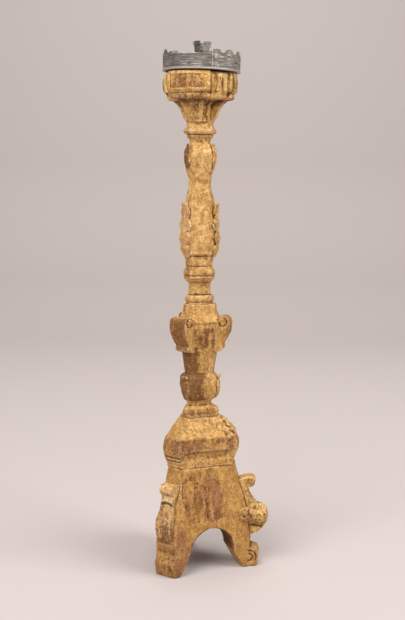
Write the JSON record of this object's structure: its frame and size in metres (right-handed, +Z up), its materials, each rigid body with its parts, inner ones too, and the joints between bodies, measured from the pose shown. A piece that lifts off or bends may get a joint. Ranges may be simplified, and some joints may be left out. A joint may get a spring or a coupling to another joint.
{
  "type": "torchere candle stand",
  "caption": "Tall carved and gilt three-sided altar candle stand on a tripod base, with a lift-off pierced sheet-metal drip pan and petalled candle nozzle.",
  "frame": {"origin": "where the axis of the stem meets the floor", "axes": "+Z up the stem; the three feet point to 210, 330 and 90 degrees from +X, so a broad face with an arch looks along -Y"},
  "size_m": [0.2127, 0.1993, 0.9145],
  "materials": {
    "gilt_wood": "old water gilding over gesso, rubbed through on the edges, soft sheen",
    "worn_gilt_wood": "heavily worn gilding with bare brown wood and bole showing, mostly matt",
    "bare_wood": "plain turned wood",
    "dull_sheet_metal": "dull grey beaten sheet, tarnished, brighter on worn edges",
    "iron": "dark forged iron"
  },
  "bodies": {
    "stand": {"base_body": "worn_gilt_wood", "console_1": "gilt_wood", "console_2": "gilt_wood", "console_3": "gilt_wood", "base_cap": "worn_gilt_wood", "hip_leaf_2": "gilt_wood", "hip_leaf_3": "gilt_wood", "lower_baluster": "worn_gilt_wood", "knop_leaf_1": "gilt_wood", "knop_leaf_2": "gilt_wood", "knop_leaf_3": "gilt_wood", "vase_scroll_1": "worn_gilt_wood", "vase_scroll_2": "worn_gilt_wood", "vase_scroll_3": "worn_gilt_wood", "upper_shaft": "gilt_wood", "bulb_leaf_1": "gilt_wood", "bulb_leaf_2": "gilt_wood", "bulb_leaf_3": "gilt_wood", "upper_leaf_1": "gilt_wood", "upper_leaf_2": "gilt_wood", "upper_leaf_3": "gilt_wood", "capital": "gilt_wood", "capital_tongue_1": "gilt_wood", "capital_tongue_2": "gilt_wood", "capital_tongue_3": "gilt_wood", "capital_sprig_1": "gilt_wood", "capital_sprig_2": "gilt_wood", "capital_sprig_3": "gilt_wood", "base_dowel": "bare_wood", "stem_dowel": "bare_wood", "capital_dowel": "bare_wood"},
    "drip_pan": {"pan_floor": "dull_sheet_metal", "gallery_band": "dull_sheet_metal", "nozzle": "dull_sheet_metal", "pan_tang": "iron"}
  },
  "joints": [
    {"name": "drip_pan_lift", "type": "slide", "parent": "stand", "child": "drip_pan", "axis": [0.0223, -0.0099, 0.9997], "range_m": [0, 0.09]}
  ]
}
